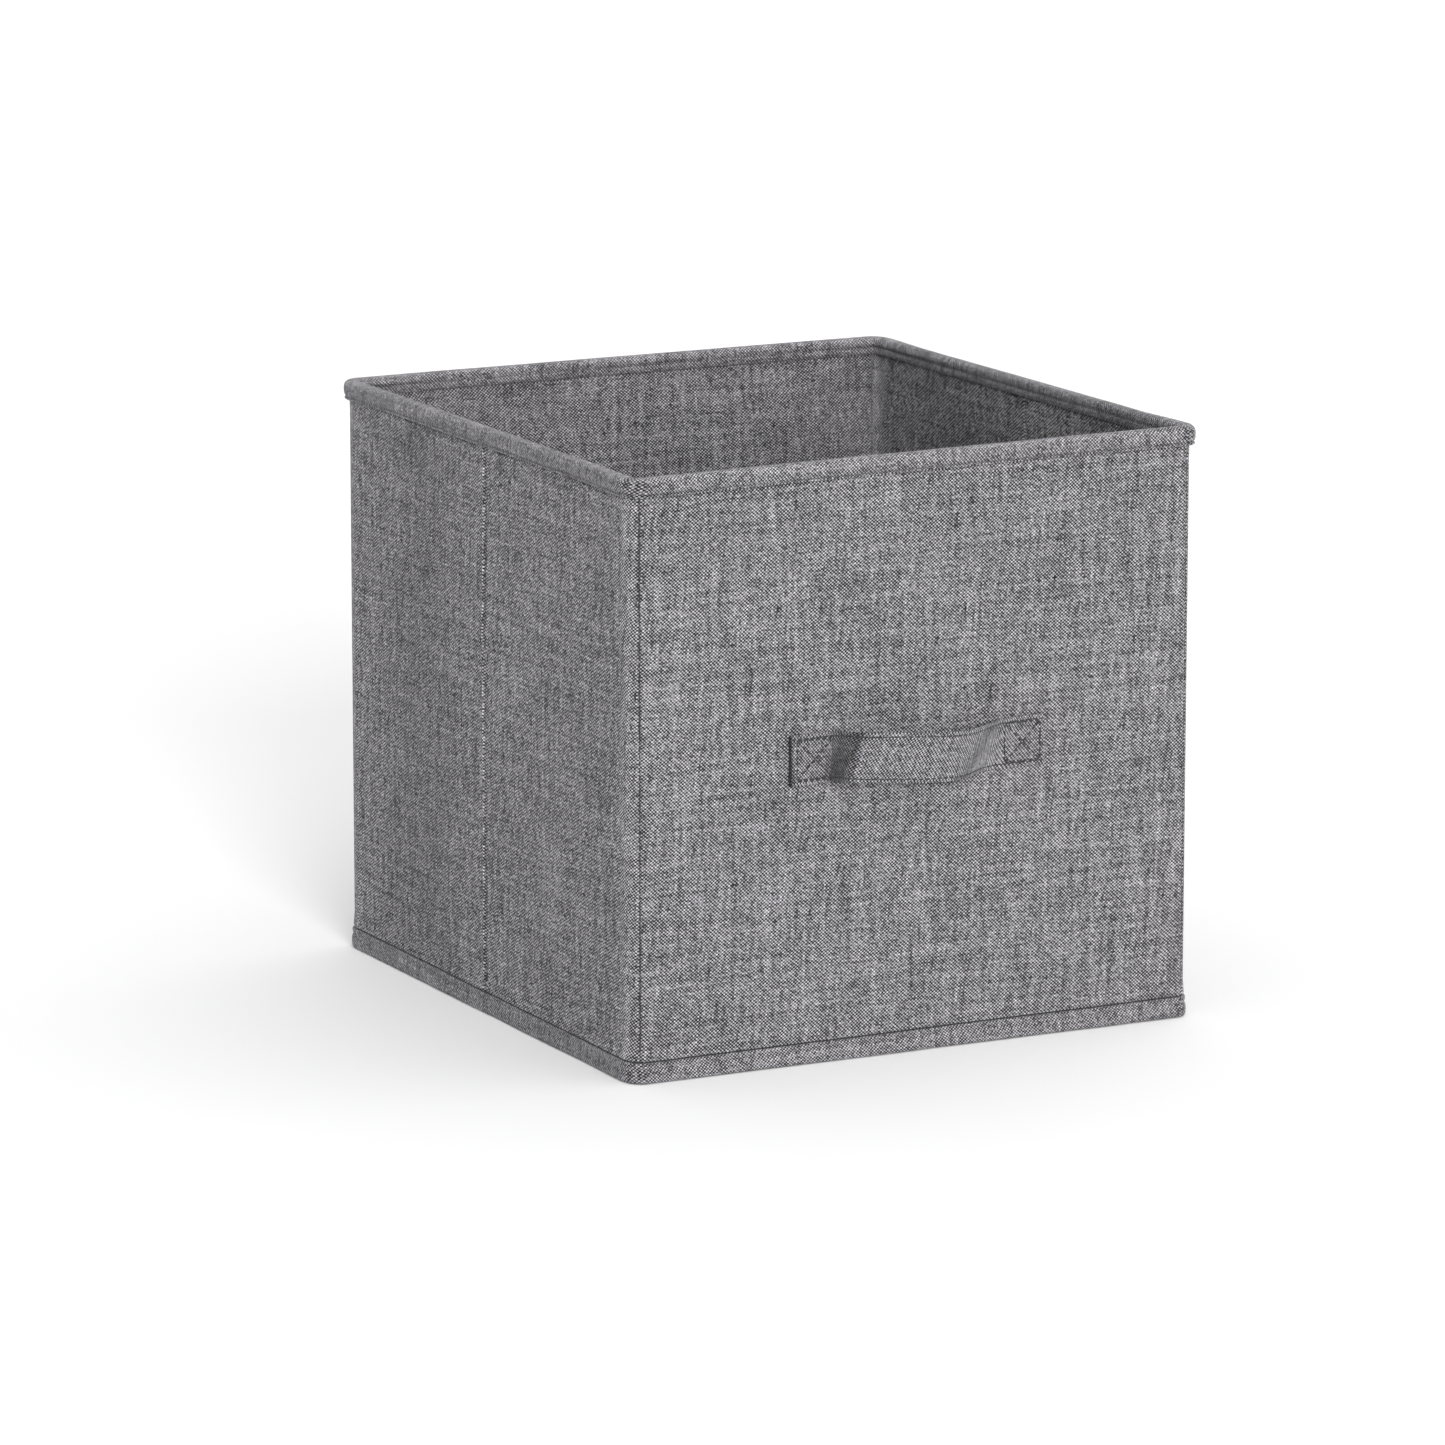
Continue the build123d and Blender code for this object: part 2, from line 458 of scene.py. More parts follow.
def math_node(tree, operation, first, second=0.0):
    """A math node of two values, each a number or another node's output."""
    node = tree.nodes.new("ShaderNodeMath")
    node.operation = operation
    for socket, value in zip(node.inputs, (first, second)):
        if isinstance(value, (int, float)):
            socket.default_value = value
        else:
            tree.links.new(value, socket)
    return node.outputs[0]


def vector_node(tree, x, y, z=0.0):
    """A vector of three values, each a number or another node's output."""
    node = tree.nodes.new("ShaderNodeCombineXYZ")
    for socket, value in zip(node.inputs, (x, y, z)):
        if isinstance(value, (int, float)):
            socket.default_value = value
        else:
            tree.links.new(value, socket)
    return node.outputs[0]


def noise_value(tree, vector, detail=1.0, roughness=0.5):
    """The value of a noise texture at a place given in its own cells."""
    node = tree.nodes.new("ShaderNodeTexNoise")
    node.inputs["Scale"].default_value = 1.0
    node.inputs["Detail"].default_value = detail
    node.inputs["Roughness"].default_value = roughness
    tree.links.new(vector, node.inputs["Vector"])
    return node.outputs["Fac"]


def spread(tree, value, gain):
    """A noise value, which stays near a half, spread about zero by a gain."""
    return math_node(tree, "MULTIPLY", math_node(tree, "SUBTRACT", value, 0.5), gain)


def separate(tree, vector):
    """The three parts of a vector."""
    node = tree.nodes.new("ShaderNodeSeparateXYZ")
    tree.links.new(vector, node.inputs[0])
    return node.outputs


def blend_values(tree, share, first, second):
    """The first value where share is 0, the second where it is 1."""
    node = tree.nodes.new("ShaderNodeMix")
    node.data_type = "FLOAT"
    for socket, value in zip((node.inputs[0], node.inputs[2], node.inputs[3]), (share, first, second)):
        tree.links.new(value, socket)
    return node.outputs[0]


def tinted(tree, tone, light):
    """A colour multiplied by a lightness."""
    grey = tree.nodes.new("ShaderNodeCombineColor")
    for socket in grey.inputs:
        tree.links.new(light, socket)
    colour = tree.nodes.new("ShaderNodeMix")
    colour.data_type = "RGBA"
    colour.blend_type = "MULTIPLY"
    colour.inputs["Factor"].default_value = 1.0
    colour.inputs[6].default_value = (*tone, 1.0)
    tree.links.new(grey.outputs[0], colour.inputs[7])
    return colour.outputs[2]


def scaled(tree, value, factor):
    """A value times a number."""
    return math_node(tree, "MULTIPLY", value, factor)


def new_material(name, roughness):
    """A new material with its node tree and its shader."""
    material = bpy.data.materials.new(name)
    material.use_nodes = True
    shader = material.node_tree.nodes["Principled BSDF"]
    shader.inputs["Roughness"].default_value = roughness
    return material, material.node_tree, shader


def cloth_place(tree):
    """The three values of the cloth attribute."""
    place = tree.nodes.new("ShaderNodeAttribute")
    place.attribute_name = "cloth"
    return separate(tree, place.outputs["Vector"])


# How light the warp and the weft are, as a share of the mean tone, and how far each kind of unevenness
# spreads the lightness. Then how far the threads wander, and the waves in each metre of cloth, along and
# across, of each kind.
WARP_LIGHT, WARP_SPREAD = 2.35, 4.0
WEFT_LIGHT, WEFT_SPREAD = 0.05, 1.4
CROSSING_SPREAD = 2.2
FLECK_SPREAD, FLECK_WAVES = 2.6, 750.0
DASH_SPREAD, DASH_WAVES = 3.6, (300.0, 900.0)
CLOUD_SPREAD, CLOUD_WAVES = 0.25, 24.0
STREAK_SPREAD, STREAK_WAVES = 1.3, (330.0, 20.0)
THREAD_WANDER, WANDER_WAVES = 2.2 * MM, (18.0, 45.0)
THREAD_SHADE_WAVES = 90.0
DARKEST = 0.06


def cloth_material(name, tone, pitch=WEAVE_PITCH, contrast=1.0, slub=0.5):
    """A melange plain weave: uneven light warp threads over and under uneven dark weft threads.
    tone is the mean colour, pitch the distances between warp threads and between weft threads, and
    slub how strongly thick places of the yarn show."""
    material, tree, shader = new_material(name, 0.92)
    shader.inputs["Specular IOR Level"].default_value = 0.2
    shader.inputs["Sheen Weight"].default_value = 0.1
    shader.inputs["Sheen Roughness"].default_value = 0.5
    u, v, painted_shading = cloth_place(tree)

    def cloth_noise(u_scale, v_scale, detail, layer=0.0, along=None, across=None):
        """Noise over the cloth, with so many cells in a metre each way."""
        first = scaled(tree, u if along is None else along, u_scale)
        second = scaled(tree, v if across is None else across, v_scale)
        return noise_value(tree, vector_node(tree, first, second, layer), detail)

    def lighten(light, value, gain):
        """A lightness with an unevenness added."""
        return math_node(tree, "ADD", light, spread(tree, value, gain))

    slow, fast = WANDER_WAVES
    wander_u = spread(tree, cloth_noise(slow, fast, 2.0, 1.0), THREAD_WANDER)
    wander_v = spread(tree, cloth_noise(fast, slow, 2.0, 2.0), THREAD_WANDER)
    leaning = math_node(tree, "SUBTRACT", u, scaled(tree, v, WARP_LEAN))
    warp_place = scaled(tree, math_node(tree, "ADD", leaning, wander_u), 1.0 / pitch[0])
    weft_place = scaled(tree, math_node(tree, "ADD", v, wander_v), 1.0 / pitch[1])
    warp_wave = math_node(tree, "SINE", scaled(tree, warp_place, math.pi))
    weft_wave = math_node(tree, "SINE", scaled(tree, weft_place, math.pi))
    crossing = math_node(tree, "MULTIPLY", warp_wave, weft_wave)
    warp_on_top = math_node(tree, "ADD", scaled(tree, crossing, 1.6), 0.5)
    warp_on_top.node.use_clamp = True
    roundness = math_node(tree, "POWER", math_node(tree, "ABSOLUTE", crossing), 0.5)

    warp_number = math_node(tree, "FLOOR", warp_place)
    weft_number = math_node(tree, "FLOOR", weft_place)
    warp_shade = cloth_noise(3.7, THREAD_SHADE_WAVES, 2.0, 3.0, along=warp_number)
    weft_shade = cloth_noise(THREAD_SHADE_WAVES, 3.7, 2.0, 4.0, across=weft_number)
    warp_light = lighten(WARP_LIGHT, warp_shade, WARP_SPREAD * contrast)
    weft_light = lighten(WEFT_LIGHT, weft_shade, WEFT_SPREAD * contrast)
    light = blend_values(tree, warp_on_top, weft_light, warp_light)
    crossing_shade = cloth_noise(5.3, 5.3, 0.0, 5.0, along=warp_number, across=weft_number)
    light = lighten(light, crossing_shade, CROSSING_SPREAD * contrast)
    # Painted shade: each thread is painted darker towards its edges and in the gaps between threads,
    # following its roundness.
    light = math_node(tree, "MULTIPLY", light, math_node(tree, "ADD", scaled(tree, roundness, 0.75), 0.35))
    fleck = cloth_noise(FLECK_WAVES, FLECK_WAVES, 2.0)
    light = lighten(light, fleck, FLECK_SPREAD * contrast)
    light = lighten(light, cloth_noise(*DASH_WAVES, 1.0, 9.0), DASH_SPREAD * slub)
    light = lighten(light, cloth_noise(CLOUD_WAVES, CLOUD_WAVES, 3.0, 6.0), CLOUD_SPREAD)
    light = lighten(light, cloth_noise(*STREAK_WAVES, 2.0, 7.0), STREAK_SPREAD * contrast)
    light = lighten(light, cloth_noise(*reversed(STREAK_WAVES), 2.0, 8.0), STREAK_SPREAD * contrast)
    light = math_node(tree, "MAXIMUM", light, DARKEST)
    # The colour is scaled by the painted highlights and shade that the cloth attribute carries, and by its
    # lighter corners.
    light = math_node(tree, "MULTIPLY", light, math_node(tree, "ADD", painted_shading, 1.0))
    tree.links.new(tinted(tree, tone, light), shader.inputs["Base Color"])

    relief_node = tree.nodes.new("ShaderNodeBump")
    relief_node.inputs["Strength"].default_value = 0.6
    relief_node.inputs["Distance"].default_value = 0.2 * MM
    tree.links.new(math_node(tree, "ADD", roundness, scaled(tree, fleck, 0.4)), relief_node.inputs["Height"])
    tree.links.new(relief_node.outputs[0], shader.inputs["Normal"])
    return material


PLY_LENGTH = 0.5 * MM


def thread_material(name, tone):
    """Twisted sewing thread: fine slanting plies."""
    material, tree, shader = new_material(name, 0.7)
    shader.inputs["Sheen Weight"].default_value = 0.1
    along, round_thread, _ = cloth_place(tree)
    slant = math_node(tree, "ADD", along, round_thread)
    ply = math_node(tree, "SINE", scaled(tree, slant, 2 * math.pi / PLY_LENGTH))
    light = math_node(tree, "ADD", scaled(tree, ply, 0.2), 0.85)
    tree.links.new(tinted(tree, tone, light), shader.inputs["Base Color"])
    return material


def card_material(name):
    """Grey-brown pressed card with fibres."""
    material, tree, shader = new_material(name, 0.95)
    coordinates = tree.nodes.new("ShaderNodeTexCoord")
    stretch = tree.nodes.new("ShaderNodeMapping")
    stretch.inputs["Scale"].default_value = (300.0, 300.0, 900.0)
    tree.links.new(coordinates.outputs["Object"], stretch.inputs["Vector"])
    fibre = noise_value(tree, stretch.outputs[0], 3.0)
    ramp = tree.nodes.new("ShaderNodeValToRGB")
    ramp.color_ramp.elements[0].color = (0.28, 0.22, 0.15, 1.0)
    ramp.color_ramp.elements[1].color = (0.48, 0.40, 0.30, 1.0)
    tree.links.new(fibre, ramp.inputs[0])
    tree.links.new(ramp.outputs[0], shader.inputs["Base Color"])
    return material


CLOTH_TONE = (0.147, 0.144, 0.152)
WALL_CLOTH = cloth_material("wall_melange", CLOTH_TONE, contrast=1.15)
SIDE_CLOTH = cloth_material("side_melange", CLOTH_TONE, pitch=(1.35 * MM, 0.8 * MM), contrast=1.35, slub=1.2)
BINDING_CLOTH = cloth_material("binding_melange", CLOTH_TONE, pitch=(0.88 * MM, 0.80 * MM), contrast=1.2)
STRAP_CLOTH = cloth_material("strap_melange", CLOTH_TONE, pitch=(0.84 * MM, 0.80 * MM))
FLOOR_CLOTH = cloth_material("floor_melange", CLOTH_TONE)
THREAD = thread_material("grey_thread", (0.075, 0.073, 0.08))
DARK_THREAD = thread_material("dark_thread", (0.02, 0.0195, 0.021))
CARD = card_material("grey_card")


# ---------------------------------------------------------------- walls and bindings


def cover_profile():
    """The closed section of a cloth-covered wall. It is drawn in at the seams of the two bindings."""
    low, high = HEM_TOP / MM, (TOP - RIM_DROP) / MM
    seam = [
        (-1.3, low - 1.5), (-1.4, low + 0.1), (-0.9, low + 0.35), (0.2, low + 0.8), (0.55, low + 1.7),
        (0.4, low + 3.5),
    ]
    levels = 44
    middle = [(0.0, low + 8.0 + (high - low - 14.0) * i / levels) for i in range(levels + 1)]
    under_rim = [(0.1, high - 2.0), (0.0, high - 0.9), (-0.4, high - 0.3), (-0.5, high + 1.0)]
    outer = [(-1.3, COVER_BOTTOM / MM), *seam, *middle, *under_rim, (-0.5, COVER_TOP / MM)]
    inner = [(-WALL / MM, z) for out, z in reversed(outer)]
    return with_heights(outer + inner)


def card_profile():
    """The section of the card inside a wall."""
    low, high = COVER_BOTTOM / MM + 1.5, COVER_TOP / MM - 1.5
    levels = 24
    outer = [(-1.5, low + (high - low) * i / levels) for i in range(levels + 1)]
    inner = [(-WALL / MM + 0.5, z) for out, z in reversed(outer)]
    return with_heights(outer + inner)


def with_heights(points):
    """A profile of (out, height) points, in millimetres, with the height as third value."""
    return [(out * MM, z * MM, z * MM) for out, z in points]


def with_lengths(points):
    """A profile of (out, height) points, in millimetres, with the length along it as third value."""
    profile = []
    length = 0.0
    for i, (out, z) in enumerate(points):
        if i:
            length += math.dist(points[i], points[i - 1])
        profile.append((out * MM, z * MM, length * MM))
    return profile


def rim_profile():
    """The section of the rim binding: a soft roll over the top with a sewn leg on each side."""
    top, wall = TOP / MM, WALL / MM
    drop, stitch, inner_stitch = RIM_DROP / MM, RIM_STITCH / MM, RIM_INNER_STITCH / MM
    outer = [
        (-0.2, top - drop), (1.2, top - drop), (1.55, top - drop + 0.35), (1.4, top - stitch - 0.5),
        (1.05, top - stitch), (1.4, top - stitch + 0.6), (1.7, top - stitch + 1.6), (1.75, top - 4.2),
    ]
    centre, reach, height = -wall / 2, wall / 2 + 1.75, 3.4
    squareness = 0.8
    roll = []
    for i in range(11):
        angle = math.pi * i / 10
        x = math.copysign(abs(math.cos(angle)) ** squareness, math.cos(angle))
        roll.append((centre + reach * x, top - height + height * math.sin(angle) ** squareness))
    inner = [
        (-wall - 1.35, top - inner_stitch + 0.7), (-wall - 0.8, top - inner_stitch),
        (-wall - 1.2, top - inner_stitch - 0.8), (-wall - 1.2, top - 7.4), (-wall - 0.9, top - 8.7),
        (-wall - 0.2, top - 8.95), (-wall + 0.3, top - 8.9), (-wall + 0.6, top - 7.5), (-0.8, top - 7.5),
    ]
    return with_lengths(outer + roll + inner)


def hem_profile():
    """The section of the bottom binding: a narrow fold at its sewn top edge over a fuller band."""
    wall = WALL / MM
    high = HEM_TOP / MM
    return with_lengths([
        (-1.6, high - 0.5), (-1.0, high), (0.5, high - 0.05), (1.05, high - 0.5), (1.2, high - 1.3),
        (1.0, high - 2.2), (0.75, high - 2.9), (1.0, high - 3.6), (1.45, high - 4.6), (1.6, high - 6.0),
        (1.6, high - 7.6), (1.45, high - 8.8), (1.0, high - 9.55), (0.2, 0.0), (-wall, 0.0),
        (-wall - 0.2, 0.8), (-wall, 3.4), (-1.6, 4.4),
    ])


def rim_relief(s, z):
    """The rim follows the wall and adds the small unevenness of a sewn tape."""
    point = plan_point(s)[0]
    place = Vector((point[0], point[1], z))
    return swell(s, z) + RIM_RUCK * noise.noise(place * RIM_RUCK_WAVES)


def rim_bulk(profile, s):
    """A rim profile swollen out of its middle, as the folded tape is at the corners."""
    bulk = 1 + RIM_BULK / WALL * 2 * (1 - corner_fade(s))
    centre = -WALL / 2
    return [(centre + (out - centre) * bulk, z, across) for out, z, across in profile]


def stitch_run(start, end, out, z, follow=swell):
    """Stitches along the wall at one height, so far out from its outer face."""
    count = max(1, round((end - start) / STITCH_PITCH))
    side = 1.0 if out > -WALL / 2 else -1.0
    run = []
    for i in range(count):
        middle = start + (end - start) * (i + 0.5) / count
        ends = [wall_place(middle + turn * STITCH_LENGTH, z, out, follow) for turn in (-0.5, 0.5)]
        normal = plan_point(middle)[1]
        run.append((*ends, (side * normal[0], side * normal[1], 0.0)))
    return run


def seam_run(seam):
    """Stitches down one sewn corner seam."""
    low, high = HEM_TOP + MM, TOP - RIM_DROP
    count = round((high - low) / STITCH_PITCH)
    normal = plan_point(seam)[1]
    run = []
    for i in range(count):
        middle = low + (high - low) * (i + 0.5) / count
        ends = [wall_place(seam, middle + turn * STITCH_LENGTH, -SEAM_DEPTH) for turn in (-0.5, 0.5)]
        run.append((*ends, (normal[0], normal[1], 0.0)))
    return run


# Each length of wall: its name, where it starts and ends round the bin, and the body it rides on or
# the two bodies it lies between.
LENGTHS = (
    ("left_front", CREASE_REACH, HINGE_START, ("left_front",)),
    ("front_left_corner", HINGE_START, HINGE_END, ("left_front", "front")),
    ("front", HINGE_END, HALF_ROUND - HINGE_MIDDLE, ("front",)),
    ("right_front", HALF_ROUND - HINGE_MIDDLE, HALF_ROUND - CREASE_REACH, ("right_front",)),
    ("right_crease", HALF_ROUND - CREASE_REACH, HALF_ROUND + CREASE_REACH, ("right_front", "right_back")),
    ("right_back", HALF_ROUND + CREASE_REACH, HALF_ROUND + HINGE_START, ("right_back",)),
    ("back_right_corner", HALF_ROUND + HINGE_START, HALF_ROUND + HINGE_END, ("right_back", "back")),
    ("back", HALF_ROUND + HINGE_END, FULL_ROUND - HINGE_END, ("back",)),
    ("back_left_corner", FULL_ROUND - HINGE_END, FULL_ROUND - HINGE_START, ("back", "left_back")),
    ("left_back", FULL_ROUND - HINGE_START, FULL_ROUND - CREASE_REACH, ("left_back",)),
    ("left_crease", FULL_ROUND - CREASE_REACH, FULL_ROUND + CREASE_REACH, ("left_back", "left_front")),
)

# The bindings' sharpest smooth-shaded angle, in degrees, and the lines of stitches on the rim: how far out
# of the wall's outer face each lies, and how far below the top.
BINDING_SHARP = 70.0
RIM_STITCH_LINES = (
    (1.1 * MM, RIM_STITCH),
    (-WALL - 0.85 * MM, RIM_INNER_STITCH),
    (-WALL - 1.05 * MM, RIM_LOW_STITCH),
)

# The lengths that hold a card.
PANELS = ("left_front", "front", "right_front", "right_back", "back", "left_back")


def attach(piece, bodies):
    """Ride one body, or, for a length between two bodies, stay where it is built, riding neither."""
    if len(bodies) == 1:
        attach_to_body(piece, bodies[0])
        return
    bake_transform(piece)


def flat_part(start, end):
    """The stretch between start and end that lies on a flat face, without rounded corners."""
    half = HALF_ROUND * math.floor((start + end) / 2 / HALF_ROUND)
    corners = (FRONT_ARC_START, FRONT_ARC_END, HALF_ROUND - FRONT_ARC_END, HALF_ROUND - FRONT_ARC_START)
    middle = (start + end) / 2 - half
    if corners[1] < middle < corners[2]:
        return max(start, half + corners[1]), min(end, half + corners[2])
    return start, end


def build_length(name, start, end, bodies):
    """The cover, bindings and stitching of one length of wall, and the card inside a panel."""
    cloth = SIDE_CLOTH if name.startswith(("left", "right")) else WALL_CLOTH
    cover = wall_sweep(f"{name}_cloth", start, end, cover_profile(), cloth, tone=cover_painted_shading)
    rim = wall_sweep(
        f"{name}_rim", start, end, rim_profile(), BINDING_CLOTH, rim_relief, rim_painted_shading, sharp=BINDING_SHARP
    )
    hem = wall_sweep(
        f"{name}_hem", start, end, hem_profile(), BINDING_CLOTH, rim_relief, sharp=BINDING_SHARP
    )
    runs = []
    for out, drop in RIM_STITCH_LINES:
        runs += stitch_run(start, end, out, TOP - drop, rim_relief)
    thread = stitches(f"{name}_rim_stitching", runs, THREAD)
    runs = stitch_run(start, end, -0.3 * MM, HEM_TOP + 0.3 * MM, swell)
    for seam in SEAMS:
        if start < seam < end:
            runs += seam_run(seam)
    seam_thread = stitches(f"{name}_seam_stitching", runs, DARK_THREAD, SEAM_STITCH_RADIUS)
    for piece, slot in (
        (cover, "wall_cloth"), (rim, "binding_cloth"), (hem, "binding_cloth"), (thread, "thread"),
        (seam_thread, "thread"),
    ):
        attach(piece, bodies)
    if name in PANELS:
        card_start, card_end = flat_part(start, end)
        inset_start, inset_end = card_start + CARD_INSET, card_end - CARD_INSET
        card = wall_sweep(f"{name}_card", inset_start, inset_end, card_profile(), CARD)
        attach(card, bodies)
        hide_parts(f"{name}_board")
        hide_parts(f"{name}_cover")
        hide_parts(f"{name}_rim_binding")
        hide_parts(f"{name}_bottom_binding")
    if name in ("front", "back"):
        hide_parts(f"{name}_left_corner_hinge", f"{name}_right_corner_hinge")


for length_name, length_start, length_end, length_bodies in LENGTHS:
    build_length(length_name, length_start, length_end, length_bodies)


# ---------------------------------------------------------------- floor


INSERT_ROUND = 7.0 * MM


def rounded_outline(low, high, radius, inset):
    """A rounded rectangle in plan, anticlockwise, moved inward by inset."""
    radius = max(radius - inset, 0.5 * MM)
    low_x, low_y, high_x, high_y = low[0] + inset, low[1] + inset, high[0] - inset, high[1] - inset
    corners = ((high_x, high_y, 0.0), (low_x, high_y, 0.5), (low_x, low_y, 1.0), (high_x, low_y, 1.5))
    signs = ((-1, -1), (1, -1), (1, 1), (-1, 1))
    points = []
    for (x, y, turn), (sign_x, sign_y) in zip(corners, signs):
        for i in range(7):
            angle = math.pi * (turn + 0.5 * i / 6)
            points.append((x + sign_x * radius + radius * math.cos(angle),
                           y + sign_y * radius + radius * math.sin(angle)))
    return points


def plate(name, low, high, radius, section, material):
    """A soft-edged plate with rounded corners. The section is (inset, height) points, in millimetres
    above the low corner, from the middle of the underside out and back to the middle of the top."""
    rings = []
    cloth_rings = []
    for inset, height in section:
        outline = rounded_outline(low, high, radius, inset * MM)
        rings.append([(x, y, low[2] + height * MM) for x, y in outline])
        cloth_rings.append([(x, y, 0.0) for x, y in outline])
    vertices, faces, cloth = loft(rings, cloth_rings)
    return make_object(name, vertices, faces, cloth, material)


def build_floor():
    """The base cloth under the bin and the covered insert on it."""
    thick = (BASE_HIGH.z - BASE_LOW.z) / MM
    inner = [edge + WALL / MM for edge in (0.6, 0.3, 0.6)]
    section = [(60, 0.25), (12, 0.2), (inner[0], 0.05), (inner[1], thick / 2), (inner[2], thick), (60, thick)]
    base = plate("base_sheet", BASE_LOW, BASE_HIGH, SIDE_ROUND, section, FLOOR_CLOTH)
    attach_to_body(base, "back")
    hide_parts("base_cloth")
    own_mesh(base)
    high = (INSERT_HIGH.z - INSERT_LOW.z) / MM
    section = [
        (70, 0.1), (6, 0.1), (1.5, 0.0), (0.5, 0.25), (0.05, 0.9), (0.0, high / 2), (0.05, high - 0.9),
        (0.5, high - 0.25), (1.5, high), (6, high + 0.05), (30, high + 0.1), (70, high + 0.15),
    ]
    insert = plate("insert_panel", INSERT_LOW, INSERT_HIGH, INSERT_ROUND, section, FLOOR_CLOTH)
    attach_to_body(insert, "insert")
    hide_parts("insert_cover", "insert_board")
    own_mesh(insert)


build_floor()


# ---------------------------------------------------------------- handle

# The strap's height and half its width; its thickness; the width of its stitched squares, where their
# outer sides are and how far out they lie; the stitch lines as shares of half its width; and where each
# end turns from the front wall to the middle.
STRAP_Z = (STRAP_LOW.z + STRAP_HIGH.z) / 2
STRAP_HALF = (STRAP_HIGH.z - STRAP_LOW.z) / 2 - 0.3 * MM
STRAP_THICK = 1.7 * MM
TAB_WIDTH = 19.0 * MM
TAB_END = 64.5 * MM
BOX_STITCH_OUT = 1.2 * MM
EDGE_LINE = 0.83
BOX_LINE = 0.77
LEFT_TURN = (-42.0 * MM, -26.0 * MM)
RIGHT_TURN = (42.0 * MM, 26.0 * MM)

# The strap's two edges, from its left end to its right: distance along X, out from the wall, and up
# from where the sewn end lies, in millimetres. The upper edge bends further right than the lower one.
UPPER_EDGE = (
    (-68, 1.6, 0), (-61, 1.0, 0), (-52, 1.0, 0), (-46.5, 1.5, 0.2), (-45, 4, 0.6), (-43.5, 9, 1.2),
    (-42, 14, 1.7), (-39.5, 18, 2.0), (-33, 20, 1.6), (-20, 21.5, 0.8), (-5, 22.5, -0.3), (8, 22, -1.2),
    (18, 19, -1.8), (27, 14, -2.0), (35, 8, -2.2), (42, 3, -2.4), (48, 1.2, -2.4), (54, 1.0, -2.2),
    (61, 1.0, -2.1), (67, 1.2, -2.0),
)
LOWER_EDGE = (
    (-68, 1.8, 0), (-61, 1.0, 0), (-53, 1.0, 0), (-47, 1.5, 0.3), (-46, 4, 1.0), (-45.5, 8.5, 1.8),
    (-45, 12.5, 2.2), (-43, 15.5, 2.3), (-36, 17.5, 1.8), (-24, 19.5, 1.0), (-10, 21, 0.0), (3, 21, -0.6),
    (12, 19, -1.0), (19, 14, -1.4), (26, 8, -1.7), (33, 3, -1.9), (40, 1.2, -2.0), (50, 1.0, -2.0),
    (60, 1.0, -2.0), (67, 1.2, -2.0),
)


# How far the weave's place across jumps from the strap's face to its back, so that the two differ.
BACK_FACE = 0.2

# The painted shade on the strap: its middle along X, how far it shifts from the lower to the upper edge, half
# its length, and how much darker it is. Two are painted shade in the bends, and the last a painted shadow at
# the cut left end.
LEFT_BEND_SHADE = (-43.6 * MM, 2.5 * MM, 3.6 * MM, -0.58)
RIGHT_BEND_SHADE = (25.0 * MM, 8.0 * MM, 4.5 * MM, -0.42)
TAB_EDGE_SHADOW = (-68.3 * MM, 0.0, 1.2 * MM, -0.95)


def smooth_keys(keys, parts):
    """Points on a Catmull-Rom curve through the keys, with so many parts between two keys."""
    padded = [keys[0], *keys, keys[-1]]
    points = []
    for i in range(1, len(padded) - 2):
        before, start, end, after = padded[i - 1:i + 3]
        for j in range(parts):
            t = j / parts
            points.append(tuple(
                0.5 * (2 * b + (c - a) * t + (2 * a - 5 * b + 4 * c - d) * t * t
                       + (3 * b - a - 3 * c + d) * t ** 3)
                for a, b, c, d in zip(before, start, end, after)
            ))
    points.append(keys[-1])
    return points


def strap_section():
    """The strap's section: place across from -1 to 1, and height above its middle, as a closed loop."""
    across = (-1.0, -0.98, -0.9, -0.83, -0.77, -0.6, -0.3, 0.0, 0.3, 0.6, 0.77, 0.83, 0.9, 0.98, 1.0)
    heights = (0.0, 0.8, 1.15, 0.55, 1.0, 1.05, 1.0, 0.98, 1.0, 1.05, 1.0, 0.55, 1.15, 0.8, 0.0)
    face = list(zip(across, heights))
    return face + [(place, -height) for place, height in reversed(face[1:-1])]


def edge_points(keys, height):
    """The points of one edge of the strap."""
    return [Vector((x * MM, -HALF_Y - out * MM, height + up * MM)) for x, out, up in smooth_keys(keys, 5)]


def strap_frames():
    """At each place along the strap: its middle, half the vector across it and the direction out."""
    upper = edge_points(UPPER_EDGE, STRAP_Z + STRAP_HALF)
    lower = edge_points(LOWER_EDGE, STRAP_Z - STRAP_HALF)
    middle = [(a + b) / 2 for a, b in zip(upper, lower)]
    frames = []
    for i, centre in enumerate(middle):
        across = (upper[i] - lower[i]) / 2
        ahead = middle[min(i + 1, len(middle) - 1)] - middle[max(i - 1, 0)]
        frames.append((centre, across, ahead.cross(across).normalized()))
    return frames


STRAP_FRAMES = strap_frames()


def strap_painted_shade(x, place):
    """The strap carries painted shade along its two bends, which slant from the lower edge to the upper one,
    and a painted shadow at its cut left end."""
    tone = 0.0
    for middle, slant, reach, shade in (LEFT_BEND_SHADE, RIGHT_BEND_SHADE, TAB_EDGE_SHADOW):
        tone += shade * bump(x - middle - slant * place, reach)
    return tone


